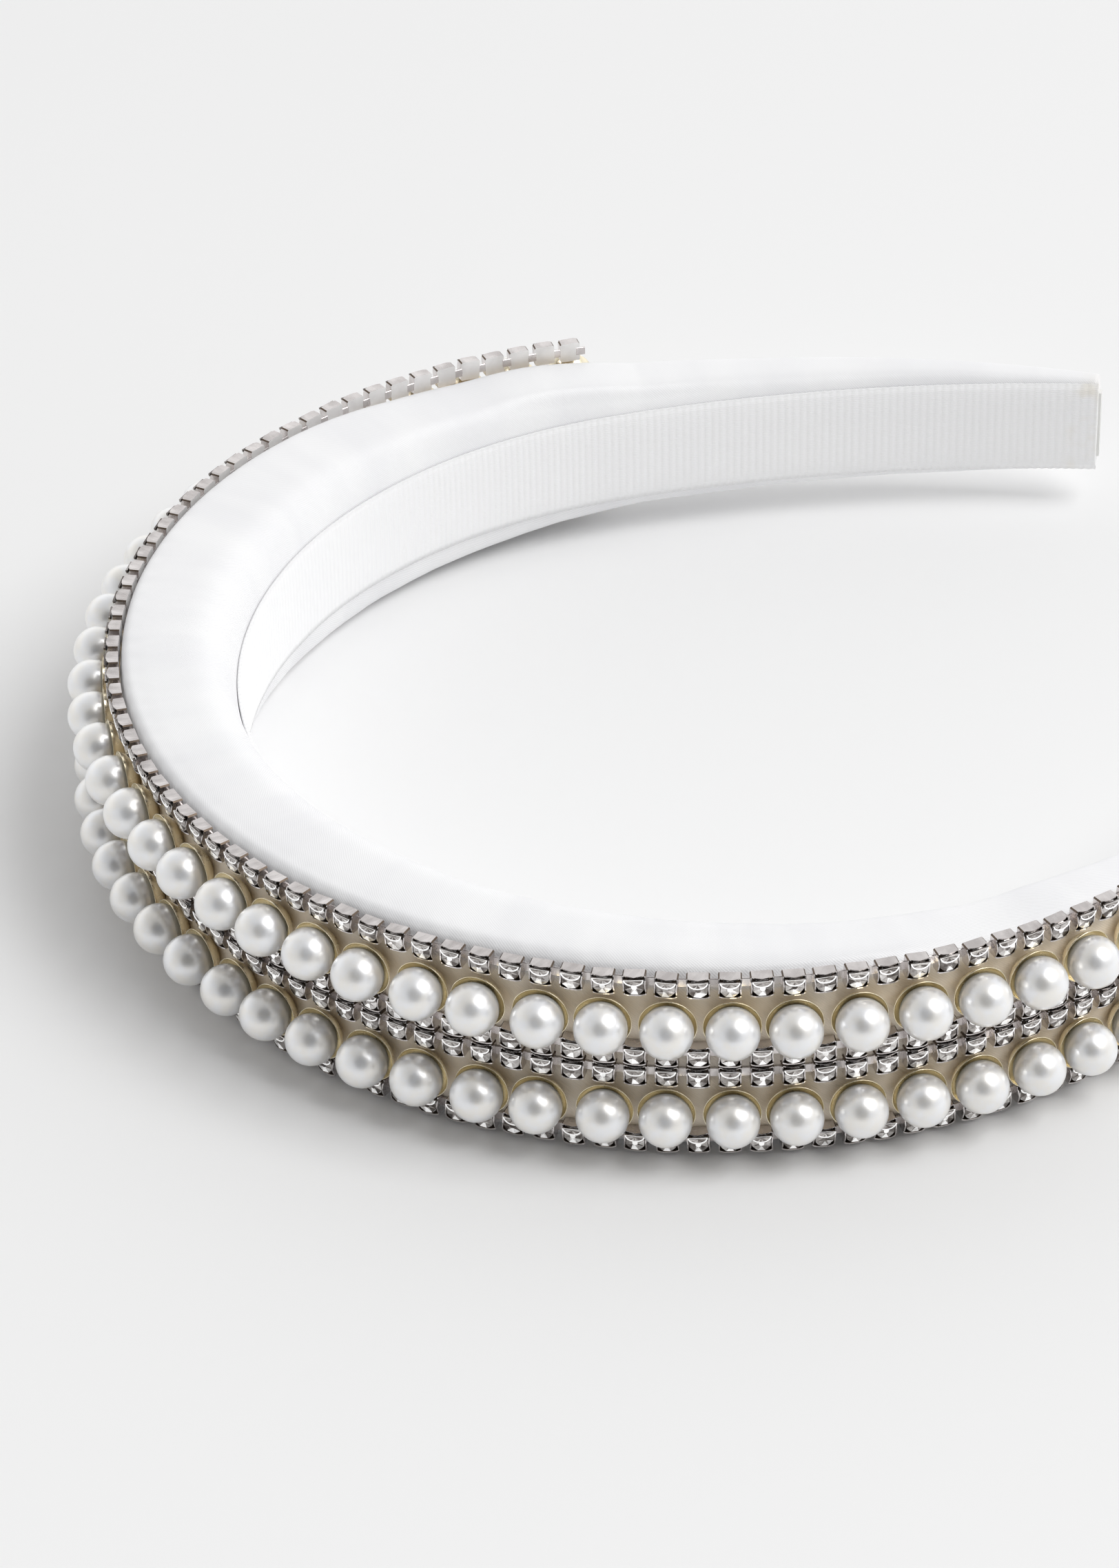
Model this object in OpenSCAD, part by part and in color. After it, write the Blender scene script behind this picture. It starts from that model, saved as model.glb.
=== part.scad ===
// Padded satin headband with four rows of stone-set cup chain and two rows of set pearls.
// It lies on its lower edge: +Z is up, the crown is towards -Y and the tips are towards +Y.
// Distances along the band run from the crown's centre. In a cross-section, u runs outwards
// from the satin's outer face and v runs up from the middle of the decorated rows.

/* [Band path] */
// Radius of the satin's outer face round the crown
crown_r = 70.7; // [69:0.1:73]
// Angle from the crown's centre to each end of the decorated arc
crown_a = 104.2; // [103.5:0.1:106]
// Radius of the outer face along each bare arm
arm_r = 160; // [140:1:200]
// Length of each bare arm
arm_l = 68.5; // [60:0.5:80]

/* [Covered section] */
// Width of the padded band at the crown
crown_w = 26.7; // [26.5:0.1:28]
// Width of the band where each bare arm starts
arm_w = 17.3; // [16.5:0.1:18]
// Width of the band at the tips
tip_w = 13.2; // [12.5:0.1:14]
// Thickness of the padded band at the crown
crown_t = 14.4; // [13.5:0.1:15]
// Thickness of the band at the tips
tip_t = 3; // [2.8:0.1:4]
// Distance from the crown's centre at which the extra padding has run out
pad_end = 135; // [130:1:150]
// How far the table presses the padding in along the lower edge
press = 1.3; // [1:0.1:1.6]

/* [Layers] */
// Thickness of the satin cover
satin_t = 0.4; // [0.3:0.05:0.6]
// Thickness of the spring core
core_t = 1.2; // [1:0.1:1.4]
// Width of the ribbon lining
ribbon_w = 12.6; // [12:0.1:12.8]
// Thickness of the ribbon lining
ribbon_t = 0.5; // [0.3:0.05:0.7]
// Glue line between neighbouring layers
glue = 0.06; // [0.04:0.01:0.1]

/* [Cup chain] */
// Cups on each side of the middle one in every row
cup_half = 37; // [30:1:37]
// Angle from one cup to the next
cup_step = 2.78; // [2.7:0.01:2.78]
// Width and height of a square cup
cup_w = 2.6; // [2.4:0.05:2.6]
// Depth of a cup
cup_d = 1.5; // [1.3:0.1:1.7]
// Wall and floor thickness of a cup
cup_wall = 0.14; // [0.1:0.01:0.2]
// Height of the link bar between two cups
link_h = 1.1; // [0.8:0.1:1.4]
// Thickness of the link bar
link_t = 0.25; // [0.15:0.05:0.35]
// Distance from the middle of the rows to the outer chains
outer_row = 10.45; // [10.45:0.01:10.6]
// Distance from the middle of the rows to the middle chains
mid_row = 1.4; // [1.35:0.01:1.42]

/* [Pearls] */
// Diameter of a pearl
pearl_d = 6; // [5.8:0.1:6]
// Radius of a setting's rim
rim_r = 3.25; // [3.1:0.01:3.3]
// Height of a setting's rim above the satin
rim_h = 1.8; // [1.6:0.1:2.2]
// Radius of a setting's flat base
base_r = 1.6; // [1.4:0.1:1.8]
// Thickness of a setting's metal under the pearl
setting_t = 0.18; // [0.12:0.02:0.3]
// Distance from the middle of the rows to each pearl row
pearl_row = 5.95; // [5.95:0.01:5.97]

/* [Hidden] */

// Distance along the outer face from the crown's centre to the arm, and to the tip
arc_l = crown_r * crown_a * PI / 180;
half_l = arc_l + arm_l;
// The rows sit a little above the middle of the band
row_lift = 0.5;
band_z = crown_w / 2 - press;
row_z = band_z + row_lift;
// How high each row's back stands on the rounded face
top_seat = -0.25;
bottom_seat = -0.15;
// Fraction of the thickness from the outer face to the widest line
widest = 0.44;
// Roundness of the outer side, and of the inner side at the crown and at the tips
outer_n = 5;
inner_n = 3;
inner_n_tip = 4.5;
// Shape of the padding's and the thickness's run-out
pad_power = 3;
thick_power = 2.2;
// Half-width that the core keeps clear of the band's edges, and where the foam ends
core_margin = 1.9;
foam_l = half_l - 10;
// Slit between the satin's two edges, under the ribbon
satin_slit = 0.8;
// Clearance between a stone and its cup's walls, and a pearl and its setting
play = 0.03;
stone_r = cup_w / 2 - cup_wall - play;
girdle_h = 0.95;
stone_h = 1.75;
table_r = 0.7;
pearl_r = pearl_d / 2;
pearl_u = setting_t + pearl_r + play;
// The last pearls stand on the last odd cup places
pearl_n = 2 * floor((cup_half - 1) / 2) + 1;
end_link_l = 0.5;
// Swell of a setting's outer side, the height it swells at, and the steps of its inner side
dish_swell = 0.2;
dish_knee = 0.4 * rim_h;
dish_n = 5;
pearl_fn = 64;
round_fn = 32;
// How far a cutting shape runs past the face it opens
past = 1;
// Segments along the crown arc and along each arm, and points round a section
arc_n = 40;
arm_n = 12;
section_n = 22;
lining_n = 6;

// A point of the path in plan, and the outward direction's angle from -Y, at distance s
function path_a(s) = abs(s) <= arc_l ? s / crown_r * 180 / PI
    : sign(s) * (crown_a + (abs(s) - arc_l) / arm_r * 180 / PI);
function out(q) = [sin(q), -cos(q)];
function path_p(s) = abs(s) <= arc_l ? crown_r * out(path_a(s))
    : (crown_r - arm_r) * out(sign(s) * crown_a) + arm_r * out(path_a(s));

// The plan is moved along Y so that the whole object is centred on the origin
tip_y = path_p(half_l)[1];
front_y = -(crown_r + pearl_u) * cos(cup_step) - pearl_r;
shift_y = -(tip_y + front_y) / 2;

// Half-width and thickness of the covered band at distance s
function arm_f(s) = max(0, min(1, (half_l - abs(s)) / arm_l));
function pad_f(s) = 1 - pow(min(1, abs(s) / pad_end), pad_power);
function half_w(s) = tip_w / 2 + (arm_w - tip_w) / 2 * (1 - pow(1 - arm_f(s), 2))
    + (crown_w - arm_w) / 2 * pad_f(s);
function thick(s) = tip_t + (crown_t - tip_t) * (1 - pow(min(1, abs(s) / half_l), thick_power));
function side_n(s) = inner_n + (inner_n_tip - inner_n) * min(1, abs(s) / half_l);

// A point of the section at distance s, at angle a round it, inset from the satin's face
function round_p(s, a, inset) = let (
        c = cos(a), t = thick(s), n = c >= 0 ? outer_n : side_n(s),
        reach = c >= 0 ? widest * t - inset : (1 - widest) * t - inset)
    [-widest * t + sign(c) * reach * pow(abs(c), 2 / n),
     sign(sin(a)) * (half_w(s) - inset) * pow(abs(sin(a)), 2 / n)];
// Depth of the inner side at height v, inset from the satin's face
function inner_u(s, v, inset) = let (t = thick(s), n = side_n(s))
    -widest * t - ((1 - widest) * t - inset) * pow(1 - pow(abs(v) / (half_w(s) - inset), n), 1 / n);

// A point in space: distance s, u outwards, v up from the band's middle, not below floor_z
function place(s, p, floor_z) = let (xy = path_p(s) + p[0] * out(path_a(s)))
    [xy[0], xy[1] + shift_y, max(floor_z, band_z + p[1])];

// Distances of the stations along the band, up to a limit at each end
function stations(limit) = [for (i = [-arc_n / 2 - arm_n : arc_n / 2 + arm_n])
    let (s = abs(i) <= arc_n / 2 ? i * arc_l / (arc_n / 2)
        : sign(i) * (arc_l + (abs(i) - arc_n / 2) * arm_l / arm_n))
    if (abs(s) <= limit) s];

// A closed solid through one ring of points per station
module sweep(rings) {
    n = len(rings[0]);
    last = (len(rings) - 1) * n;
    polyhedron(
        points = [for (ring = rings) for (p = ring) p],
        faces = concat(
            [[for (j = [n - 1 : -1 : 0]) j]],
            [[for (j = [0 : n - 1]) last + j]],
            [for (i = [0 : len(rings) - 2]) for (j = [0 : n - 1])
                let (a = i * n, k = (j + 1) % n) [a + j, a + k, a + n + k]],
            [for (i = [0 : len(rings) - 2]) for (j = [0 : n - 1])
                let (a = i * n, k = (j + 1) % n) [a + j, a + n + k, a + n + j]]),
        convexity = 8);
}

// The spring core: a flat strip near the inner side
function core_w(s) = half_w(s) - core_margin - (crown_w - arm_w) / 2 * pad_f(s);
function core_u(s) = inner_u(s, core_w(s), satin_t + glue);
module core_band() {
    color("whitesmoke") sweep([for (s = stations(half_l)) let (w = core_w(s), u = core_u(s))
        [for (p = [[u, -w], [u + core_t, -w], [u + core_t, w], [u, w]]) place(s, p, 0)]]);
}

// The foam: fills the cover outside the core
module foam_pad() {
    color("lightyellow") sweep([for (s = stations(foam_l)) let (u = core_u(s) + core_t + glue)
        [for (i = [0 : section_n - 1])
            let (p = round_p(s, (i + 0.5) * 360 / section_n, satin_t + glue))
            place(s, [max(u, p[0]), p[1]], satin_t + glue)]]);
}

// The satin: wraps the foam and the core, with its two edges side by side under the ribbon
module satin_cover() {
    color("white") sweep([for (s = stations(half_l))
        let (gap = asin(pow(satin_slit / 2 / half_w(s), side_n(s) / 2)))
        concat(
            [for (i = [0 : section_n])
                place(s, round_p(s, -180 + gap + i * (360 - 2 * gap) / section_n, 0), 0)],
            [for (i = [section_n : -1 : 0])
                place(s, round_p(s, -180 + gap + i * (360 - 2 * gap) / section_n, satin_t),
                    satin_t)])]);
}

// The ribbon: a strip that follows the satin's inner side
module ribbon_lining() {
    color("snow") sweep([for (s = stations(half_l))
        concat(
            [for (i = [-lining_n / 2 : lining_n / 2]) let (v = i * ribbon_w / lining_n)
                place(s, [inner_u(s, v, 0) - glue, v], 0)],
            [for (i = [lining_n / 2 : -1 : -lining_n / 2]) let (v = i * ribbon_w / lining_n)
                place(s, [inner_u(s, v, 0) - glue - ribbon_t, v], 0)])]);
}

// Children stand on the face: X along the band, -Y outwards, at angle q and height z
module on_face(q, z, seat) {
    translate([0, shift_y, 0]) rotate([0, 0, q]) translate([0, -crown_r - seat, z]) children();
}

// A square box cup, open outwards
module cup() {
    hollow = cup_w - 2 * cup_wall;
    difference() {
        translate([-cup_w / 2, -cup_d, -cup_w / 2]) cube([cup_w, cup_d, cup_w]);
        translate([-hollow / 2, -cup_d - past, -hollow / 2])
            cube([hollow, cup_d - cup_wall + past, hollow]);
    }
}

// A round stone with a flat table, standing on its cup's floor
module stone() {
    translate([0, -cup_wall, 0]) rotate([90, 0, 0]) rotate_extrude($fn = round_fn)
        polygon([[0, 0], [stone_r, 0], [stone_r, girdle_h], [table_r, stone_h - cup_wall],
            [0, stone_h - cup_wall]]);
}

// A point in plan beside a cup: angle q, x along the band, u outwards
function beside(q, x, u) = (crown_r + u) * out(q) + x * [cos(q), sin(q)] + [0, shift_y];

// A flat bar between two neighbours whose sides are x from their middles
module bar(qa, qb, x, seat, z, h, t) {
    translate([0, 0, z - h / 2]) linear_extrude(height = h)
        polygon([beside(qa, x, seat), beside(qb, -x, seat), beside(qb, -x, seat + t),
            beside(qa, x, seat + t)]);
}

// Every cup, stone or link of one row, whose middle is v above the middle of the rows
module chain_cups(v, seat) {
    color("silver") for (i = [-cup_half : cup_half]) on_face(i * cup_step, row_z + v, seat) cup();
}
module chain_stones(v, seat) {
    color("gainsboro") for (i = [-cup_half : cup_half])
        on_face(i * cup_step, row_z + v, seat) stone();
}
module chain_links(v, seat) {
    color("silver") {
        for (i = [-cup_half : cup_half - 1])
            bar(i * cup_step, (i + 1) * cup_step, cup_w / 2, seat, row_z + v, link_h, link_t);
        for (side = [-1, 1]) on_face(side * cup_half * cup_step, row_z + v, seat)
            translate([side * (cup_w + end_link_l) / 2, -link_t / 2, 0])
                cube([end_link_l, link_t, link_h], center = true);
    }
}

// Pearls stand on every second cup position
module on_pearl_places(v) {
    for (i = [-pearl_n : 2 : pearl_n]) on_face(i * cup_step, row_z + v, 0) children();
}
module pearls(v) {
    color("ivory") on_pearl_places(v) translate([0, -pearl_u, 0]) sphere(r = pearl_r, $fn = pearl_fn);
}
// A metal dish whose inner side follows the pearl
module setting() {
    seat_r = pearl_r + play;
    edge_a = asin((pearl_u - rim_h) / seat_r);
    rotate([90, 0, 0]) rotate_extrude($fn = round_fn)
        polygon(concat(
            [[0, 0], [base_r, 0], [(base_r + rim_r) / 2 + dish_swell, dish_knee], [rim_r, rim_h]],
            [for (i = [0 : dish_n]) let (a = edge_a + i * (90 - edge_a) / dish_n)
                [i == dish_n ? 0 : seat_r * cos(a), pearl_u - seat_r * sin(a)]]));
}
module pearl_settings(v) {
    color("darkkhaki") on_pearl_places(v) setting();
}

module top_chain_cups() { chain_cups(outer_row, top_seat); }
module top_chain_stones() { chain_stones(outer_row, top_seat); }
module top_chain_links() { chain_links(outer_row, top_seat); }
module upper_mid_chain_cups() { chain_cups(mid_row, 0); }
module upper_mid_chain_stones() { chain_stones(mid_row, 0); }
module upper_mid_chain_links() { chain_links(mid_row, 0); }
module lower_mid_chain_cups() { chain_cups(-mid_row, 0); }
module lower_mid_chain_stones() { chain_stones(-mid_row, 0); }
module lower_mid_chain_links() { chain_links(-mid_row, 0); }
module bottom_chain_cups() { chain_cups(-outer_row, bottom_seat); }
module bottom_chain_stones() { chain_stones(-outer_row, bottom_seat); }
module bottom_chain_links() { chain_links(-outer_row, bottom_seat); }
module upper_pearls() { pearls(pearl_row); }
module upper_pearl_settings() { pearl_settings(pearl_row); }
module lower_pearls() { pearls(-pearl_row); }
module lower_pearl_settings() { pearl_settings(-pearl_row); }

core_band();
foam_pad();
satin_cover();
ribbon_lining();
top_chain_cups();
top_chain_stones();
top_chain_links();
upper_mid_chain_cups();
upper_mid_chain_stones();
upper_mid_chain_links();
lower_mid_chain_cups();
lower_mid_chain_stones();
lower_mid_chain_links();
bottom_chain_cups();
bottom_chain_stones();
bottom_chain_links();
upper_pearls();
upper_pearl_settings();
lower_pearls();
lower_pearl_settings();
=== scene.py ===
import math
import random

import bmesh
import bpy
from mathutils import Matrix, Vector, noise


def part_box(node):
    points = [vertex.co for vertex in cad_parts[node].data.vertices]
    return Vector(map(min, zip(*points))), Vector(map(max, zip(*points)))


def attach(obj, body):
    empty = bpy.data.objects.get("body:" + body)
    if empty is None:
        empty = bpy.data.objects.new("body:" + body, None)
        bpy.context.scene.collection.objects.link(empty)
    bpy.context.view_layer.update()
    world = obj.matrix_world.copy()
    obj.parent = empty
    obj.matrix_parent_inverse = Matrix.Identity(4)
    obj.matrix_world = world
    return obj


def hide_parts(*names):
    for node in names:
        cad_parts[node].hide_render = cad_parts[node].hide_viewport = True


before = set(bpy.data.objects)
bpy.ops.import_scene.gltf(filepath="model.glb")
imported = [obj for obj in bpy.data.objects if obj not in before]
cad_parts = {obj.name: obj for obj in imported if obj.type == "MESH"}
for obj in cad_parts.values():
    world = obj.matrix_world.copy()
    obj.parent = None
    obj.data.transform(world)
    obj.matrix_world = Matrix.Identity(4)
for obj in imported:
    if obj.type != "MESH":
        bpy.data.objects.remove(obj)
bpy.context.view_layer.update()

# ---- Sizes, in metres, as the frame has them ----
# The band's path: a crown arc and two bare arms
CROWN_R = 0.0707
CROWN_A = math.radians(104.2)
ARM_R = 0.160
ARM_L = 0.0685
# Width and thickness of the covered band
CROWN_W, ARM_W, TIP_W = 0.0267, 0.0173, 0.0132
CROWN_T, TIP_T = 0.0144, 0.0030
PAD_END = 0.135
PRESS = 0.0013
# The section: widest line, and how square its outer and inner sides are
WIDEST = 0.44
OUTER_N, INNER_N, INNER_N_TIP = 5, 3, 4.5
PAD_POWER, THICK_POWER = 3, 2.2
# The ribbon lining
RIBBON_W, RIBBON_T = 0.0126, 0.0005
GLUE = 0.00006
# The rows of cup chain
CUP_HALF = 37
CUP_STEP = math.radians(2.78)
CUP_W, CUP_D, CUP_WALL = 0.0026, 0.0015, 0.00014
LINK_H, LINK_T = 0.0011, 0.00025
OUTER_ROW, MID_ROW = 0.01045, 0.0014
TOP_SEAT, BOTTOM_SEAT = -0.00025, -0.00015
# The rows of set pearls
PEARL_R = 0.003
RIM_R, RIM_H = 0.00325, 0.0018
BASE_R = 0.0016
SETTING_T = 0.00018
PEARL_ROW = 0.00595
PLAY = 0.00003

ARC_L = CROWN_R * CROWN_A
HALF_L = ARC_L + ARM_L
BAND_Z = CROWN_W / 2 - PRESS
ROW_Z = BAND_Z + 0.0005
PEARL_U = SETTING_T + PEARL_R + PLAY
PEARL_N = 37
TAU = 2 * math.pi


# ---- The band's path and section ----
def outward(q):
    """The outward direction at angle q from the crown's centre."""
    return Vector((math.sin(q), -math.cos(q), 0))


def turn(s):
    """The angle of the outward direction at distance s along the band."""
    beyond = max(0, abs(s) - ARC_L)
    return math.copysign(min(abs(s), ARC_L) / CROWN_R + beyond / ARM_R, s)


def on_path(s):
    """The point of the satin's outer line at distance s, before the plan is moved along Y."""
    if abs(s) <= ARC_L:
        return CROWN_R * outward(turn(s))
    return (CROWN_R - ARM_R) * outward(math.copysign(CROWN_A, s)) + ARM_R * outward(turn(s))


SHIFT_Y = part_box("satin_cover")[1].y - on_path(HALF_L).y


def place(s, u, v):
    """A point in space: u outwards from the outer line, v up from the band's middle."""
    p = on_path(s) + u * outward(turn(s))
    return Vector((p.x, p.y + SHIFT_Y, BAND_Z + v))


def clamp(x, low=0.0, high=1.0):
    return max(low, min(high, x))


def smooth(x, low, high):
    """0 up to low, 1 from high on, and a smooth step between. Falls where low is above high."""
    t = clamp((x - low) / (high - low))
    return t * t * (3 - 2 * t)


def half_w(s):
    arm = clamp((HALF_L - abs(s)) / ARM_L)
    pad = 1 - min(1, abs(s) / PAD_END) ** PAD_POWER
    return TIP_W / 2 + (ARM_W - TIP_W) / 2 * (1 - (1 - arm) ** 2) + (CROWN_W - ARM_W) / 2 * pad


def thick(s):
    return TIP_T + (CROWN_T - TIP_T) * (1 - min(1, abs(s) / HALF_L) ** THICK_POWER)


def side_n(s):
    return INNER_N + (INNER_N_TIP - INNER_N) * min(1, abs(s) / HALF_L)


def section(s, a):
    """(u, v) at angle a round the section, from the outer line over the upper side."""
    c, t = math.cos(a), thick(s)
    n = OUTER_N if c >= 0 else side_n(s)
    reach = (WIDEST if c >= 0 else 1 - WIDEST) * t
    u = -WIDEST * t + math.copysign(reach * abs(c) ** (2 / n), c)
    return u, math.copysign(half_w(s) * abs(math.sin(a)) ** (2 / n), math.sin(a))


def inner_u(s, v):
    """Depth of the satin's inner side at height v."""
    t, n = thick(s), side_n(s)
    return -WIDEST * t - (1 - WIDEST) * t * (1 - min(1, abs(v) / half_w(s)) ** n) ** (1 / n)


# ---- Materials ----
class Wire:
    """A node's output that does arithmetic: an expression on it adds its Math nodes."""

    def __init__(self, finish, socket):
        self.finish, self.socket = finish, socket

    def maths(self, operation, *terms):
        return self.finish.node("ShaderNodeMath", {"operation": operation}, dict(enumerate(terms)))

    def __add__(self, other):
        return self.maths("ADD", self, other)

    def __radd__(self, other):
        return self.maths("ADD", other, self)

    def __sub__(self, other):
        return self.maths("SUBTRACT", self, other)

    def __rsub__(self, other):
        return self.maths("SUBTRACT", other, self)

    def __mul__(self, other):
        return self.maths("MULTIPLY", self, other)

    def __rmul__(self, other):
        return self.maths("MULTIPLY", other, self)

    def __truediv__(self, other):
        return self.maths("DIVIDE", self, other)

    def __pow__(self, other):
        return self.maths("POWER", self, other)

    def sine(self):
        return self.maths("SINE", self)

    def size(self):
        return self.maths("ABSOLUTE", self)

    def ramp(self, low, high, start=0.0, end=1.0):
        """start where the wire is at low, end where it is at high, and smooth between."""
        return self.finish.node(
            "ShaderNodeMapRange",
            {"interpolation_type": "SMOOTHSTEP"},
            {"Value": self, "From Min": low, "From Max": high, "To Min": start, "To Max": end},
        )


class Nodes:
    """A node tree, and one method that adds a node to it."""

    def __init__(self, tree):
        self.tree = tree

    def fill(self, node, inputs):
        """Links or sets a node's sockets."""
        for key, value in inputs.items():
            if isinstance(value, Wire):
                self.tree.links.new(value.socket, node.inputs[key])
            elif isinstance(value, tuple) and len(node.inputs[key].default_value) == 4:
                node.inputs[key].default_value = (*value, 1)
            else:
                node.inputs[key].default_value = value

    def node(self, kind, settings=None, inputs=None, out=0):
        """A new node of that kind: its settings first, then its sockets. Gives its output."""
        made = self.tree.nodes.new(kind)
        for key, value in (settings or {}).items():
            setattr(made, key, value)
        self.fill(made, inputs or {})
        return Wire(self, made.outputs[out])

    def parts(self, vector):
        """The three parts of a vector."""
        split = self.node("ShaderNodeSeparateXYZ", {}, {0: vector}).socket.node
        return [Wire(self, socket) for socket in split.outputs]

    def blend(self, share, a, b):
        """Colour a where share is 0, and b where it is 1."""
        return self.node("ShaderNodeMix", {"data_type": "RGBA"}, {0: share, 6: a, 7: b}, out=2)


class Finish(Nodes):
    """A material and its Principled shader."""

    def __init__(self, name, colour, **sockets):
        self.material = bpy.data.materials.new(name)
        self.material.use_nodes = True
        super().__init__(self.material.node_tree)
        self.shader = self.tree.nodes["Principled BSDF"]
        self.shade(Base_Color=colour, **sockets)

    def shade(self, **sockets):
        """Feeds the shader's own sockets."""
        self.fill(self.shader, {k.replace("_", " "): v for k, v in sockets.items()})
        return self.material

    def grain(self, where, scale, detail=2.0, rough=0.5):
        return self.node("ShaderNodeTexNoise", {}, {
            "Vector": where, "Scale": scale, "Detail": detail, "Roughness": rough})

    def relief(self, height, depth, strength=1.0):
        """A Bump node's normal, for a height from 0 to 1 that stands depth metres tall."""
        return self.node("ShaderNodeBump", {}, {
            "Height": height, "Distance": depth, "Strength": strength})

    def on_object(self):
        return self.node("ShaderNodeTexCoord", out=3)

    def on_cloth(self):
        """The cloth's own coordinates: metres along the band, and metres round it."""
        return self.node("ShaderNodeUVMap", {"uv_map": "cloth"})


def satin_finish():
    """White polyester satin: a fine steep twill with painted shade along its lines, soft sheen,
    and a painted warm shade under the rows.
    """
    f = Finish("satin", (0.86, 0.86, 0.86), Sheen_Weight=0.12, Sheen_Roughness=0.35)
    cloth = f.on_cloth()
    along, round_it, _ = f.parts(cloth)
    wander = f.grain(cloth, 260) * 0.0007
    twill = ((along * 0.62 + round_it * 0.78 + wander) * (TAU / 0.00024)).sine() * 0.5 + 0.5
    slub = f.grain(cloth, 900, 3)
    streak = f.node("ShaderNodeVectorMath", {"operation": "MULTIPLY"}, {0: cloth, 1: (1, 0.3, 1)})
    cloud = f.grain(streak, 110, 3)
    white = f.blend(cloud.ramp(0.3, 0.7), (0.91, 0.91, 0.925), (0.97, 0.97, 0.975))
    # The twill lines are darkened in the colour: painted shade in the grooves of the weave.
    twill_shaded = f.blend(twill * 0.3, white, (0.66, 0.66, 0.68))
    # Under and between the rows the satin is tinted tan: painted shade, warmed as if by light
    # bounced off the gold.
    covered = round_it.size().ramp(0.0094, 0.0106, 1, 0) * along.size().ramp(0.126, 0.1285, 1, 0)
    warm_shade = covered * f.grain(cloth, 130, 3).ramp(0.2, 0.75, 0.55, 1)
    tip = along.size().ramp(0.193, 0.1975, 0, 0.3) * f.grain(cloth, 300, 2)
    shade_tinted = f.blend(warm_shade * 0.9, twill_shaded, (1.0, 0.875, 0.70))
    return f.shade(
        Base_Color=f.blend(tip, shade_tinted, (0.86, 0.78, 0.62)),
        Roughness=0.30 + slub * 0.16 + twill * 0.06,
        Normal=f.relief(twill * 0.7 + slub * 0.3, 0.00003, 0.5))


def ribbon_finish():
    """White grosgrain: matt weft ribs with fine warp threads across them, and painted shade in the
    valleys between the ribs.
    """
    f = Finish("grosgrain", (0.86, 0.86, 0.86), Sheen_Weight=0.25, Sheen_Roughness=0.5)
    cloth = f.on_cloth()
    along, across, _ = f.parts(cloth)
    warp = (across * (TAU / 0.00025) + (along * (math.pi / RIB_PITCH)).sine() * 1.2).sine()
    fuzz = f.grain(cloth, 2200, 3)
    rib = (along * (TAU / RIB_PITCH)).sine() * 0.5 + 0.5
    cloud = f.grain(cloth, 60, 2)
    white = f.blend(cloud, (0.96, 0.96, 0.97), (0.99, 0.99, 0.99))
    # The valleys between the ribs are darkened in the colour: painted shade.
    shaded_valleys = f.blend((1 - rib) * 0.18, white, (0.62, 0.62, 0.64))
    tip = along.size().ramp(0.1915, 0.1955, 0, 0.5) * f.grain(cloth, 260, 2).ramp(0.45, 0.7)
    return f.shade(
        Base_Color=f.blend(tip, shaded_valleys, (0.80, 0.74, 0.62)),
        Roughness=0.55 + fuzz * 0.2,
        Normal=f.relief(warp * 0.35 + fuzz * 0.65, 0.00004, 0.6))


def metal_finish(name, colour, worn, rough):
    """Plated metal: fine polishing marks, and duller plate in patches."""
    f = Finish(name, colour, Metallic=1.0)
    spot = f.on_object()
    patch = f.grain(spot, 420, 3).ramp(0.35, 0.7)
    marks = f.grain(spot, 3800, 2)
    return f.shade(
        Base_Color=f.blend(patch, colour, worn),
        Roughness=rough + patch * 0.10 + marks * 0.08,
        Normal=f.relief(marks, 0.00001, 0.25))


def pearl_finish():
    """Imitation pearl: a bright nacre coat over ivory, with a faint cloud in it."""
    f = Finish("pearl", (0.86, 0.85, 0.83), Coat_Weight=0.4, Coat_Roughness=0.22, Coat_IOR=1.6)
    spot = f.on_object()
    cloud = f.grain(spot, 520, 3)
    return f.shade(
        Base_Color=f.blend(cloud.ramp(0.3, 0.7), (0.95, 0.96, 0.98), (0.95, 0.93, 0.89)),
        Metallic=0.5 + cloud * 0.14,
        Roughness=0.3 + cloud * 0.06)


def stone_finish():
    """Cut glass over silver foil, in painted light: each facet is painted its own shade, from
    bright to dark, and the brightest ones glow.
    """
    f = Finish("cut_stone", (0.7, 0.7, 0.7), Metallic=0.7, Coat_Weight=1.0, Coat_Roughness=0.03,
               Emission_Strength=0.5)
    facet_glint = f.node("ShaderNodeAttribute", {"attribute_name": "facet_glint"}, out=2)
    shade = facet_glint + (f.grain(f.on_object(), 2600, 3) - 0.5) * 0.5
    dim = f.blend(shade.ramp(0.0, 0.5), (0.09, 0.07, 0.06), (0.58, 0.55, 0.53))
    return f.shade(
        Base_Color=f.blend(shade.ramp(0.45, 1.0), dim, (0.98, 0.98, 0.98)),
        # Painted glow: the brightest facets give off light of their own.
        Emission_Color=f.blend(shade.ramp(0.35, 1.05), (0, 0, 0), (1, 1, 1)),
        Roughness=shade.ramp(0, 1, 0.08, 0.2))


def edge_finish():
    """The ground edge of a stone's table, made to glow white: a painted highlight along the rim.
    """
    f = Finish("ground_edge", (0.95, 0.95, 0.95), Emission_Color=(1, 1, 1), Emission_Strength=0.45)
    frost = f.grain(f.on_object(), 3000, 2)
    return f.shade(Base_Color=f.blend(frost, (0.88, 0.88, 0.87), (1.0, 1.0, 1.0)),
                   Roughness=0.25 + frost * 0.1)


def cup_shade_finish():
    """The inside of a cup, coloured dark brown: painted shade in its hollow."""
    f = Finish("cup_painted_shade", (0.10, 0.08, 0.06), Metallic=0.8)
    patch = f.grain(f.on_object(), 1300, 2)
    return f.shade(Base_Color=f.blend(patch, (0.05, 0.035, 0.025), (0.22, 0.17, 0.13)),
                   Roughness=0.35 + patch * 0.2)


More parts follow.
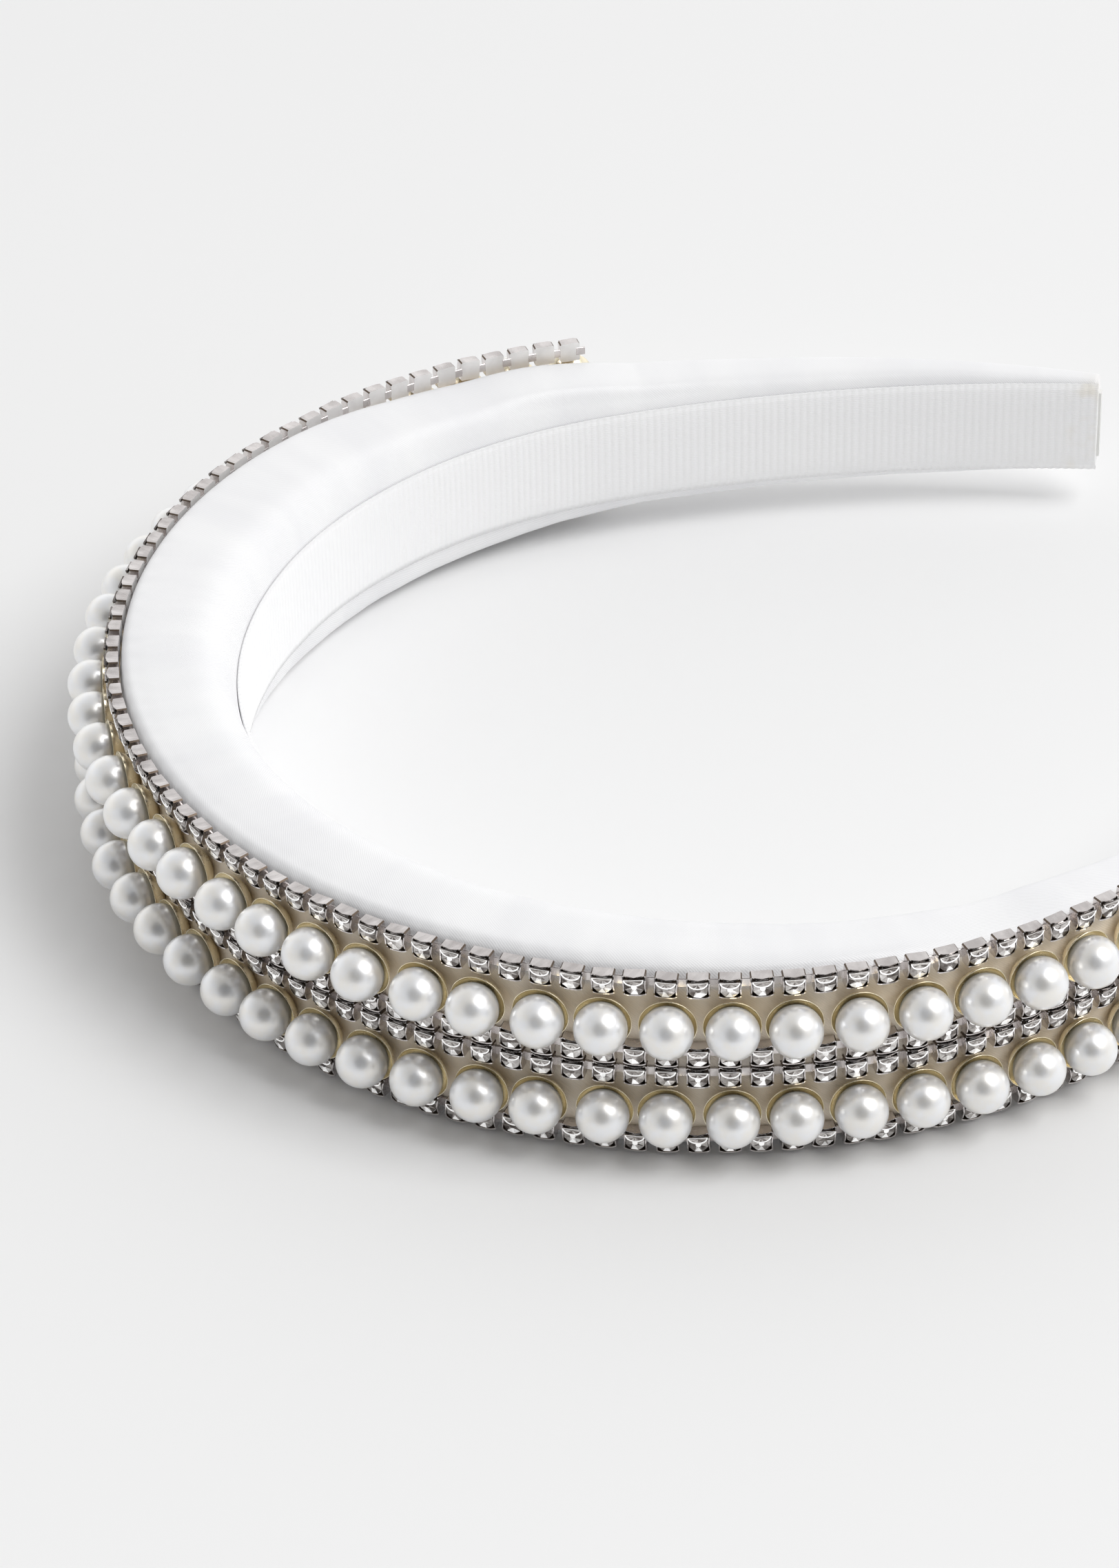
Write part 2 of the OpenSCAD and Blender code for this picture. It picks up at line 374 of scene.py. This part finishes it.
def core_finish():
    """Moulded plastic strip with fine flow lines along it."""
    f = Finish("core_plastic", (0.80, 0.80, 0.78), Roughness=0.45)
    spot = f.on_object()
    flow = f.grain(spot, 350, 3)
    return f.shade(
        Base_Color=f.blend(flow, (0.76, 0.76, 0.74), (0.84, 0.84, 0.82)),
        Normal=f.relief(flow, 0.00005, 0.4))


def foam_finish():
    """Cream polyurethane foam with open cells."""
    f = Finish("foam", (0.86, 0.82, 0.66), Roughness=0.95)
    spot = f.on_object()
    cells = f.node("ShaderNodeTexVoronoi", {}, {"Vector": spot, "Scale": 1400.0})
    return f.shade(
        Base_Color=f.blend(cells.ramp(0, 0.6), (0.78, 0.73, 0.56), (0.90, 0.87, 0.74)),
        Normal=f.relief(cells, 0.0002, 0.8))


# ---- Making pieces ----
def as_mesh(bm, name, finishes, flat=False):
    """The bmesh as a mesh with its materials, smooth unless it is faceted."""
    mesh = bpy.data.meshes.new(name)
    for face in bm.faces:
        face.smooth = not flat
    bm.to_mesh(mesh)
    bm.free()
    for finish in finishes:
        mesh.materials.append(finish)
    return mesh


def piece(name, mesh, slot, *nodes):
    """A finished piece that rides on the frame and stands for its CAD nodes."""
    made = bpy.data.objects.new(name, mesh)
    bpy.context.scene.collection.objects.link(made)
    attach(made, "root")
    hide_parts(*nodes)
    return made


def stamp(whole, shape, matrix):
    """Adds a copy of the mesh shape to the bmesh whole, moved by matrix."""
    first = len(whole.verts)
    whole.from_mesh(shape)
    whole.verts.ensure_lookup_table()
    bmesh.ops.transform(whole, matrix=matrix, verts=whole.verts[first:])


def outwards(bm):
    bmesh.ops.recalc_face_normals(bm, faces=bm.faces)


def on_face(q, z, seat=0.0):
    """Stands on the satin's face: X along the band, -Y outwards, at angle q and height z."""
    return (Matrix.Translation((0, SHIFT_Y, z)) @ Matrix.Rotation(q, 4, "Z")
            @ Matrix.Translation((0, -CROWN_R - seat, 0)))


# ---- Satin cover and ribbon lining ----
SATIN_ROUND, SATIN_ALONG = 88, 800
TIP_ROLL = 0.0006
RIB_PITCH = 0.00102
RIB_DEPTH = 0.00009
RIB_STEPS = 5
# Satin: soft waves, fine drawn lines, and the tucks that the cups press into it
WAVE_H, DRAWN_H, TUCK_H = 0.00016, 0.00007, 0.00004
# Satin: how far it swells behind the top chain, and at the crest where the padding runs out
WELT_H, CREST_H = 0.00045, 0.0009


def flat_cloth(across, along):
    """A flat grid of cloth 1 by 1: X across it from -0.5 to 0.5, and Y along it."""
    bm = bmesh.new()
    bmesh.ops.create_grid(bm, x_segments=across, y_segments=along, size=0.5)
    return bm


def lay_cloth(bm, shape):
    """Moves each point of flat cloth to shape(x, y), which gives (place, along, across)."""
    found = {vert: shape(vert.co.x, vert.co.y) for vert in bm.verts}
    layer = bm.loops.layers.uv.new("cloth")
    for face in bm.faces:
        for loop in face.loops:
            loop[layer].uv = found[loop.vert][1:]
    for vert, (where, _, _) in found.items():
        vert.co = where


def girth(s, a):
    """Distance round the section from its outer line to angle a."""
    steps = 10
    last, total = section(s, 0), 0
    for i in range(1, steps + 1):
        here = section(s, a * i / steps)
        total += math.hypot(here[0] - last[0], here[1] - last[1])
        last = here
    return math.copysign(total, a)


def pucker(s, a, v):
    """How far the satin stands proud of the smooth section, or is drawn into it."""
    free = smooth(abs(a), 1.2, 1.7) * smooth(abs(v), RIBBON_W * 0.52, RIBBON_W * 0.62)
    wave = noise.noise(Vector((s * 70, v * 60, 3.1))) * WAVE_H
    drawn = noise.noise(Vector((s * 260, v * 45, 7.7))) * DRAWN_H
    edge = smooth(abs(a), 1.45, 1.15) * smooth(abs(v), 0.0118, 0.0126)
    tuck = math.cos(s / CROWN_R / CUP_STEP * TAU) * TUCK_H * edge
    beside = smooth(v, 0.0110, 0.0118) * smooth(v, 0.0133, 0.0125) * smooth(abs(a), 1.62, 1.5)
    welt = beside * smooth(abs(s), 0.129, 0.125) * WELT_H
    upper = smooth(abs(a - math.pi / 2), 0.75, 0.25)
    crest = upper * smooth(abs(s), 0.108, 0.122) * smooth(abs(s), 0.156, 0.125) * CREST_H
    return free * (wave + drawn) + tuck + welt + crest


def satin_shape(x, y):
    """The cover: round the section along X, and along the band with Y, rolled in at the tips."""
    s = y * 2 * HALF_L
    a = x * TAU
    u, v = section(s, a)
    roll = clamp((abs(s) - HALF_L + TIP_ROLL) / TIP_ROLL)
    keep = math.sqrt(1 - roll * roll)
    middle = -thick(s) * 0.5
    swell = 1 + pucker(s, a, v) * (1 - roll) / max(0.001, math.hypot(u - middle, v))
    where = place(s, middle + (u - middle) * keep * swell, v * keep * swell)
    where.z = max(where.z, 0.0)
    return where, s, girth(s, a)


def make_satin(finish):
    bm = flat_cloth(SATIN_ROUND, SATIN_ALONG)
    lay_cloth(bm, satin_shape)
    bmesh.ops.remove_doubles(bm, verts=bm.verts, dist=1e-6)
    outwards(bm)
    cover = piece("satin_cover_soft", as_mesh(bm, "satin_cover_soft", [finish]), "satin",
                  "satin_cover")


def lining_length():
    """Length of the ribbon's middle line, tip to tip."""
    steps = 400
    points = [place(s, inner_u(s, 0), 0)
              for s in (HALF_L * (2 * i / steps - 1) for i in range(steps + 1))]
    return sum((b - a).length for a, b in zip(points, points[1:]))


def ribbon_shape(x, y):
    """The lining: across it along X, its ribs along the band with Y, on the satin's inner side."""
    s = y * 2 * (HALF_L - 0.0003)
    phase = math.cos(s / RIB_PITCH * TAU)
    edge = smooth(abs(x), 0.46, 0.5)
    v = x * (RIBBON_W + 0.00008 * phase * edge)
    rib = RIB_DEPTH * (phase * 0.5 + 0.5) * (1 - 0.6 * edge)
    lift = 0.00012 * noise.noise(Vector((s * 90, x * 3, 1.3))) * edge
    u = inner_u(s, v) - GLUE - (RIBBON_T - RIB_DEPTH) / 2 - rib - max(0, lift)
    return place(s, u, v), s, v


def make_ribbon(finish):
    ribs = round(2 * HALF_L / RIB_PITCH)
    bm = flat_cloth(14, ribs * RIB_STEPS)
    lay_cloth(bm, ribbon_shape)
    outwards(bm)
    mesh = as_mesh(bm, "ribbon_lining_cloth", [finish])
    lining = piece("ribbon_lining_cloth", mesh, "grosgrain", "ribbon_lining")
    depth = lining.modifiers.new("cloth_thickness", "SOLIDIFY")
    depth.thickness = RIBBON_T - 0.0001
    depth.offset = 0
    lining_length()


# ---- Cup chain ----
CUP_CORNER = 0.00016
CUP_FOLD = 0.00072
CUP_ARCH, CUP_LEAN = 0.0004, 0.055
# The stone's upper window: radius, flattening, and where its middle and its straight edge are
WINDOW_R, WINDOW_FLAT = 0.00113, 0.76
WINDOW_Y, WINDOW_Z, WINDOW_TOP = -0.00150, 0.00104, 0.00103
WINDOW_T, WINDOW_RIM = 0.00022, 0.00013
# How bright each part of a stone is painted: painted glints and shade on its facets
GLINT_SIDE, GLINT_WINDOW = 0.05, 0.3
GLINT_LOW, GLINT_SLANT, GLINT_REST = 1.0, 0.6, 0.3
GLINT_SPREAD = 0.3
# How far the cups of a row wander across it, where it is free to and where it has a neighbour
FREE_LIFT, SHUT_LIFT = 0.00016, 0.00005


def cup_shape(plate, inside, back):
    """A square cup: four arched walls whose middles lean in over the stone."""
    bm = bmesh.new()
    bmesh.ops.create_cube(bm, size=1)
    bmesh.ops.scale(bm, vec=(CUP_W, CUP_D, CUP_W), verts=bm.verts)
    bmesh.ops.translate(bm, vec=(0, -CUP_D / 2, 0), verts=bm.verts)
    corners = [e for e in bm.edges if abs(e.verts[0].co.y - e.verts[1].co.y) > CUP_D / 2]
    bmesh.ops.bevel(bm, geom=corners, offset=CUP_CORNER, affect="EDGES", segments=1, profile=0.5,
                    material=-1)
    mouth = [f for f in bm.faces if f.calc_center_median().y < -CUP_D * 0.9]
    bmesh.ops.delete(bm, geom=mouth, context="FACES")
    for axis in ((1, 0, 0), (0, 0, 1)):
        for at in (-CUP_FOLD, 0, CUP_FOLD):
            geom = bm.verts[:] + bm.edges[:] + bm.faces[:]
            bmesh.ops.bisect_plane(bm, geom=geom, plane_co=Vector(axis) * at, plane_no=axis)
    for vert in bm.verts:
        if vert.co.y < -CUP_D * 0.9:
            off = min(abs(vert.co.x), abs(vert.co.z)) / (CUP_W / 2)
            vert.co.y += CUP_ARCH * off ** 2
            lean = 1 - CUP_LEAN * (1 - off) ** 2
            vert.co.x *= lean
            vert.co.z *= lean
    outwards(bm)
    bmesh.ops.solidify(bm, geom=bm.faces[:], thickness=CUP_WALL)
    outwards(bm)
    # Faces deep within the cup take the dark finish: painted shade in the hollow.
    for face in bm.faces:
        centre = face.calc_center_median()
        deep = centre.y > -CUP_D * 0.75 and centre.y < -CUP_WALL / 2
        within = max(abs(centre.x), abs(centre.z)) < CUP_W / 2 - CUP_WALL / 2
        face.material_index = 1 if deep and within else 0
        if centre.y > -CUP_WALL / 2 and face.normal.y > 0.9:
            face.material_index = 2
    return as_mesh(bm, "cup", [plate, inside, back], flat=True)


def window_shape():
    """The stone's upper window: half an oval plate whose ground rim glows white, a painted
    highlight.
    """
    bm = bmesh.new()
    facet_glint = bm.faces.layers.float.new("facet_glint")
    oval = Matrix.Translation((0, WINDOW_Y, WINDOW_Z)) @ Matrix.Rotation(math.radians(90), 4, "X")
    bmesh.ops.create_circle(bm, cap_ends=True, segments=28, radius=WINDOW_R,
                            matrix=oval @ Matrix.Diagonal((1, WINDOW_FLAT, 1, 1)))
    bmesh.ops.bisect_plane(bm, geom=bm.verts[:] + bm.edges[:] + bm.faces[:], clear_outer=True,
                           plane_co=(0, 0, WINDOW_TOP), plane_no=(0, 0, 1))
    raised = bmesh.ops.extrude_face_region(bm, geom=bm.faces[:])["geom"]
    bmesh.ops.translate(bm, vec=(0, -WINDOW_T, 0),
                        verts=[v for v in raised if isinstance(v, bmesh.types.BMVert)])
    outwards(bm)
    front = [f for f in bm.faces if f.normal.y < -0.9]
    ground = bmesh.ops.inset_region(bm, faces=front, thickness=WINDOW_RIM, depth=-0.00004)["faces"]
    # The window's sides are painted dark and its face a mid grey: painted shade.
    for face in bm.faces:
        face[facet_glint] = GLINT_SIDE
    # The ground rim takes the glowing edge finish: a painted highlight.
    for face in ground:
        face.material_index = 1
    for face in bmesh.ops.poke(bm, faces=front, offset=-0.00008)["faces"]:
        face[facet_glint] = GLINT_WINDOW
    return bm


def stone_shape(facets, edge, turned):
    """A round cut stone: long facets from its girdle to a small table, and its upper window.

    turned is how many degrees its table is turned in the cup.
    """
    girdle = CUP_W / 2 - CUP_WALL - PLAY
    bm = bmesh.new()
    facet_glint = bm.faces.layers.float.new("facet_glint")
    rings = ((0.00032, -0.00162, 8, turned), (0.00109, -0.00147, 8, turned + 22.5),
             (girdle, -0.00136, 16, 11.25), (girdle, -0.00120, 16, 11.25))
    for radius, y, sides, lean in rings:
        matrix = Matrix.Translation((0, y, 0)) @ Matrix.Rotation(math.radians(90), 4, "X")
        matrix = matrix @ Matrix.Rotation(math.radians(lean), 4, "Z")
        bmesh.ops.create_circle(bm, segments=sides, radius=radius, matrix=matrix)
    bmesh.ops.create_vert(bm, co=(0, -0.00030, 0))
    bmesh.ops.convex_hull(bm, input=bm.verts)
    bmesh.ops.dissolve_limit(bm, angle_limit=math.radians(1), verts=bm.verts, edges=bm.edges)
    outwards(bm)
    # Painted light on the facets: a bright painted highlight on the low middle ones, less on the
    # slanting ones, dim on the rest.
    for face in bm.faces:
        centre = face.calc_center_median()
        fan = abs(math.atan2(centre.x, -centre.z))
        face[facet_glint] = GLINT_LOW if fan < 0.3 else GLINT_SLANT if fan < 0.7 else GLINT_REST
    window = window_shape()
    stamp(bm, as_mesh(window, "window", [facets, edge]), Matrix())
    # One fixed order of facets, as each is later given its own shade in turn
    bm.faces.sort(key=lambda face: face.calc_center_median().dot(Vector((0.31, 0.53, 0.79))))
    return as_mesh(bm, "stone", [facets, edge], flat=True)


def bar_shape(finish, length, height, depth):
    """A flat link bar with softened edges, standing on the face."""
    bm = bmesh.new()
    bmesh.ops.create_cube(bm, size=1)
    bmesh.ops.scale(bm, vec=(length, depth, height), verts=bm.verts)
    bmesh.ops.translate(bm, vec=(0, -depth / 2, 0), verts=bm.verts)
    bmesh.ops.bevel(bm, geom=bm.edges[:], offset=depth * 0.2, affect="EDGES", segments=1,
                    profile=0.5, material=-1)
    return as_mesh(bm, "bar", [finish], flat=True)


def make_chain(name, v, seat, plating, cutting, seed):
    """One row of cups with their stones and link bars, each cup set a little by hand."""
    dice = random.Random(seed)
    free = abs(v) > OUTER_ROW / 2
    cups, stones, links = bmesh.new(), bmesh.new(), bmesh.new()
    cup = cup_shape(*plating)
    cut_stones = [stone_shape(*cutting, turned) for turned in (-9, -3, 4, 10)]
    bar = bar_shape(plating[0], CUP_STEP * CROWN_R - CUP_W + 0.0004, LINK_H, LINK_T)
    heights = []
    for i in range(-CUP_HALF, CUP_HALF + 1):
        if free:
            lift = dice.uniform(0, FREE_LIFT) * math.copysign(1, v)
        else:
            lift = dice.uniform(-1, 1) * SHUT_LIFT
        lean = math.radians(dice.uniform(-4, 4) if free else dice.uniform(-2, 2))
        heights.append(ROW_Z + v + lift)
        here = on_face(i * CUP_STEP, heights[-1], seat)
        here = here @ Matrix.Rotation(lean, 4, "Y")
        here = here @ Matrix.Rotation(math.radians(dice.uniform(-2, 2)), 4, "Z")
        stamp(cups, cup, here)
        nod = Matrix.Rotation(math.radians(dice.uniform(-2.5, 2.5)), 4, "Y")
        first = len(stones.faces)
        stamp(stones, dice.choice(cut_stones), here @ nod)
        stones.faces.ensure_lookup_table()
        # Each facet's painted glint wanders a little from stone to stone.
        facet_glint = stones.faces.layers.float["facet_glint"]
        for face in stones.faces[first:]:
            face[facet_glint] += dice.uniform(-GLINT_SPREAD, GLINT_SPREAD)
    for i in range(len(heights) - 1):
        q = (i - CUP_HALF + 0.5) * CUP_STEP
        stamp(links, bar, on_face(q, (heights[i] + heights[i + 1]) / 2, seat))
    for side in (-1, 1):
        end = on_face(side * CUP_HALF * CUP_STEP, heights[0 if side < 0 else -1], seat)
        stamp(links, bar, end @ Matrix.Translation((side * (CUP_W / 2 + 0.0001), 0, 0)))
    for bm, part, materials, slot in (
            (cups, "cups", plating, "silver_plate"),
            (stones, "stones", cutting, "clear_stone"),
            (links, "links", plating[:1], "silver_plate")):
        node = f"{name}_{part}"
        piece(f"{node}_set", as_mesh(bm, node, materials, flat=True), slot, node)


# ---- Set pearls ----
def pearl_shape(finish):
    bm = bmesh.new()
    bmesh.ops.create_uvsphere(bm, u_segments=32, v_segments=18, radius=PEARL_R)
    bmesh.ops.rotate(bm, matrix=Matrix.Rotation(math.radians(90), 3, "X"), verts=bm.verts)
    return as_mesh(bm, "pearl", [finish])


def spun(profile, sides):
    """A turned shape: a line of (radius, height) points spun about the outward direction."""
    bm = bmesh.new()
    verts = [bm.verts.new((radius, -height, 0)) for radius, height in profile]
    edges = [bm.edges.new(pair) for pair in zip(verts, verts[1:])]
    bmesh.ops.spin(bm, geom=verts + edges, cent=(0, 0, 0), axis=(0, 1, 0), angle=TAU,
                   steps=sides, use_merge=True)
    bmesh.ops.remove_doubles(bm, verts=bm.verts, dist=1e-6)
    outwards(bm)
    return bm


def setting_shape(finish):
    """A thin stamped dish with a fine turned rim, a little wider than the pearl."""
    bm = spun([(0, 0), (BASE_R, 0), (2.6e-3, 7.0e-4), (3.03e-3, 1.3e-3), (RIM_R, RIM_H - 5e-5),
               (RIM_R, RIM_H), (RIM_R - 8e-5, RIM_H), (RIM_R - 1.1e-4, RIM_H - 8e-5),
               (2.9e-3, 1.3e-3), (2.4e-3, 7.5e-4), (1.4e-3, 1.2e-4), (0, 1.0e-4)], 36)
    return as_mesh(bm, "setting", [finish])


def make_pearl_row(name, v, pearl, gold, seed):
    """One row of pearls in their dishes, each set a little by hand."""
    dice = random.Random(seed)
    pearls, settings = bmesh.new(), bmesh.new()
    bead, dish = pearl_shape(pearl), setting_shape(gold)
    for i in range(-PEARL_N, PEARL_N + 1, 2):
        q = i * CUP_STEP + dice.uniform(-0.00022, 0.00022) / CROWN_R
        here = on_face(q, ROW_Z + v)
        stamp(settings, dish, here)
        sway = (dice.uniform(-8e-5, 8e-5), -PEARL_U, dice.uniform(-8e-5, 8e-5))
        stamp(pearls, bead, here @ Matrix.Translation(sway))
    piece(f"{name}s_set", as_mesh(pearls, f"{name}s", [pearl]), "pearl", f"{name}s")
    piece(f"{name}_dishes", as_mesh(settings, f"{name}_settings", [gold]), "gold_plate",
          f"{name}_settings")


# ---- The whole headband ----
silver = metal_finish("silver_plate", (0.74, 0.705, 0.695), (0.58, 0.545, 0.535), 0.16)
gold = metal_finish("gold_plate", (0.97, 0.89, 0.69), (0.90, 0.79, 0.55), 0.20)
back = metal_finish("cup_back", (0.92, 0.91, 0.90), (0.84, 0.83, 0.82), 0.45)
plating = [silver, cup_shade_finish(), back]
cutting = [stone_finish(), edge_finish()]
nacre = pearl_finish()

make_satin(satin_finish())
make_ribbon(ribbon_finish())
for node, material in (("core_band", core_finish()), ("foam_pad", foam_finish())):
    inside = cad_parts[node].data
    inside.materials.clear()
    inside.materials.append(material)
make_chain("top_chain", OUTER_ROW, TOP_SEAT, plating, cutting, 11)
make_chain("upper_mid_chain", MID_ROW, 0, plating, cutting, 12)
make_chain("lower_mid_chain", -MID_ROW, 0, plating, cutting, 13)
make_chain("bottom_chain", -OUTER_ROW, BOTTOM_SEAT, plating, cutting, 14)
make_pearl_row("upper_pearl", PEARL_ROW, nacre, gold, 21)
make_pearl_row("lower_pearl", -PEARL_ROW, nacre, gold, 22)


# ---- Floor, lights and camera ----
def floor_finish():
    """Matt white paper, very faintly uneven."""
    f = Finish("paper_floor", (0.90, 0.90, 0.90), Roughness=0.9)
    spot = f.on_object()
    return f.shade(Base_Color=f.blend(f.grain(spot, 3, 2), (0.895, 0.895, 0.895), (0.9, 0.9, 0.9)))


bpy.ops.mesh.primitive_plane_add(size=8, location=(0, 0, 0))
floor = bpy.context.object
floor.name = "paper_floor"
floor.data.materials.append(floor_finish())

CAMERA_AT = Vector((0.4806, SHIFT_Y - 0.2528, 0.3678))
LOOK_AZ, LOOK_DOWN, ROLL = math.radians(64.19), math.radians(33.99), math.radians(-1.19)

camera = bpy.data.cameras.new("camera")
camera.lens = 123.75
camera.clip_start = 0.01
eye = bpy.data.objects.new("camera", camera)
turned = Matrix.Rotation(LOOK_AZ, 4, "Z") @ Matrix.Rotation(math.pi / 2 - LOOK_DOWN, 4, "X")
eye.matrix_world = Matrix.Translation(CAMERA_AT) @ turned @ Matrix.Rotation(ROLL, 4, "Z")
bpy.context.scene.collection.objects.link(eye)
bpy.context.scene.camera = eye


def softbox(name, direction, away, width, watts):
    """A square area light that faces the object."""
    light = bpy.data.lights.new(name, "AREA")
    light.shape = "SQUARE"
    light.size = width
    light.energy = watts
    lamp = bpy.data.objects.new(name, light)
    lamp.location = Vector(direction).normalized() * away
    lamp.rotation_euler = lamp.location.to_track_quat("Z", "Y").to_euler()
    lamp.visible_camera = False
    bpy.context.scene.collection.objects.link(lamp)


softbox("key_light", (0.44, 0.39, 0.80), 3.0, 1.9, 50)

# The room: bright at the far side and low down, with a dark patch where the viewer would stand
PATCH_RIM, PATCH_CORE = math.radians(38), math.radians(20)
studio = bpy.data.worlds.new("studio")
bpy.context.scene.world = studio
studio.use_nodes = True
room = Nodes(studio.node_tree)
look_out = room.node("ShaderNodeTexCoord")


def towards(direction):
    """How nearly the room is looked at in that direction, from -1 to 1."""
    return room.node("ShaderNodeVectorMath", {"operation": "DOT_PRODUCT"},
                     {0: look_out, 1: direction}, out=1)


viewer = towards(CAMERA_AT.normalized()).ramp(math.cos(PATCH_RIM), math.cos(PATCH_CORE), 1, 0.1)
ceiling = towards((0, 0, 1)).ramp(0.2, 0.95, 0.85, 0.52)
far_side = towards((-math.sin(LOOK_AZ), math.cos(LOOK_AZ), 0)).ramp(-1, 1, 0.72, 1.32)
room.fill(studio.node_tree.nodes["Background"], {0: (1, 1, 1), 1: viewer * ceiling * far_side})
bpy.context.scene.view_settings.view_transform = "Standard"
